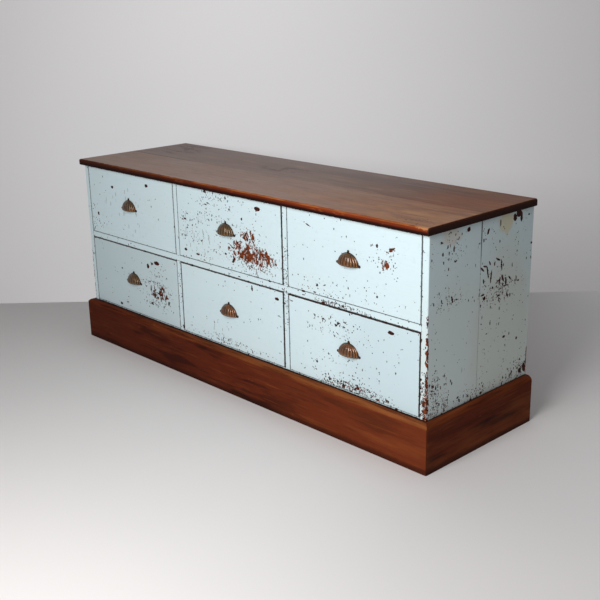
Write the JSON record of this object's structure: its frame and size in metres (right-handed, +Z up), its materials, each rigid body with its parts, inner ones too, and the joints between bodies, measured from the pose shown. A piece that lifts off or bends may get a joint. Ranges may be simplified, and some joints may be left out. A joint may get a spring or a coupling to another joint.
{
  "type": "chest of drawers",
  "caption": "Low shop chest with painted inset drawers that slide out on wooden runners, fluted shell cup pulls, a planked hardwood top and a tall rounded plinth.",
  "frame": {"origin": "centre of the overall box, at floor level", "axes": "+X along the front to the right of someone facing the drawers, +Y to the back, +Z up"},
  "size_m": [1.698, 0.504, 0.699],
  "materials": {
    "painted_softwood": "pale duck-egg blue paint, chipped to red-brown undercoat and wood",
    "mahogany_top": "worn wax over brown mahogany boards",
    "mahogany_plinth": "dark red-brown polish",
    "bare_softwood": "bare aged pine",
    "aged_brass": "dark patina, rubbed bright along the flutes",
    "nail_metal": "dark tarnish"
  },
  "bodies": {
    "carcass": {"top_front_board": "mahogany_top", "top_rear_board": "mahogany_top", "left_end_front_board": "painted_softwood", "left_end_rear_board": "painted_softwood", "right_end_front_board": "painted_softwood", "right_end_rear_board": "painted_softwood", "left_partition": "painted_softwood", "right_partition": "painted_softwood", "middle_rail": "painted_softwood", "carcass_bottom": "painted_softwood", "drawer_runners": "bare_softwood", "drawer_stops": "bare_softwood", "back_boards": "bare_softwood", "plinth_front": "mahogany_plinth", "plinth_left": "mahogany_plinth", "plinth_right": "mahogany_plinth", "base_rails": "bare_softwood", "glue_blocks": "bare_softwood"},
    "upper_left_drawer": {"upper_left_drawer_front": "painted_softwood", "upper_left_drawer_left_side": "bare_softwood", "upper_left_drawer_right_side": "bare_softwood", "upper_left_drawer_back": "bare_softwood", "upper_left_drawer_bottom": "bare_softwood", "upper_left_drawer_pull": "aged_brass", "upper_left_drawer_pull_nails": "nail_metal"},
    "upper_middle_drawer": {"upper_middle_drawer_front": "painted_softwood", "upper_middle_drawer_left_side": "bare_softwood", "upper_middle_drawer_right_side": "bare_softwood", "upper_middle_drawer_back": "bare_softwood", "upper_middle_drawer_bottom": "bare_softwood", "upper_middle_drawer_pull": "aged_brass", "upper_middle_drawer_pull_nails": "nail_metal"},
    "upper_right_drawer": {"upper_right_drawer_front": "painted_softwood", "upper_right_drawer_left_side": "bare_softwood", "upper_right_drawer_right_side": "bare_softwood", "upper_right_drawer_back": "bare_softwood", "upper_right_drawer_bottom": "bare_softwood", "upper_right_drawer_pull": "aged_brass", "upper_right_drawer_pull_nails": "nail_metal"},
    "lower_left_drawer": {"lower_left_drawer_front": "painted_softwood", "lower_left_drawer_left_side": "bare_softwood", "lower_left_drawer_right_side": "bare_softwood", "lower_left_drawer_back": "bare_softwood", "lower_left_drawer_bottom": "bare_softwood", "lower_left_drawer_pull": "aged_brass", "lower_left_drawer_pull_nails": "nail_metal"},
    "lower_middle_drawer": {"lower_middle_drawer_front": "painted_softwood", "lower_middle_drawer_left_side": "bare_softwood", "lower_middle_drawer_right_side": "bare_softwood", "lower_middle_drawer_back": "bare_softwood", "lower_middle_drawer_bottom": "bare_softwood", "lower_middle_drawer_pull": "aged_brass", "lower_middle_drawer_pull_nails": "nail_metal"},
    "lower_right_drawer": {"lower_right_drawer_front": "painted_softwood", "lower_right_drawer_left_side": "bare_softwood", "lower_right_drawer_right_side": "bare_softwood", "lower_right_drawer_back": "bare_softwood", "lower_right_drawer_bottom": "bare_softwood", "lower_right_drawer_pull": "aged_brass", "lower_right_drawer_pull_nails": "nail_metal"}
  },
  "joints": [
    {"name": "upper_left_drawer_slide", "type": "slide", "parent": "carcass", "child": "upper_left_drawer", "axis": [0, -1, 0], "range_m": [0, 0.38]},
    {"name": "upper_middle_drawer_slide", "type": "slide", "parent": "carcass", "child": "upper_middle_drawer", "axis": [0, -1, 0], "range_m": [0, 0.38]},
    {"name": "upper_right_drawer_slide", "type": "slide", "parent": "carcass", "child": "upper_right_drawer", "axis": [0, -1, 0], "range_m": [0, 0.38]},
    {"name": "lower_left_drawer_slide", "type": "slide", "parent": "carcass", "child": "lower_left_drawer", "axis": [0, -1, 0], "range_m": [0, 0.38]},
    {"name": "lower_middle_drawer_slide", "type": "slide", "parent": "carcass", "child": "lower_middle_drawer", "axis": [0, -1, 0], "range_m": [0, 0.38]},
    {"name": "lower_right_drawer_slide", "type": "slide", "parent": "carcass", "child": "lower_right_drawer", "axis": [0, -1, 0], "range_m": [0, 0.38]}
  ]
}
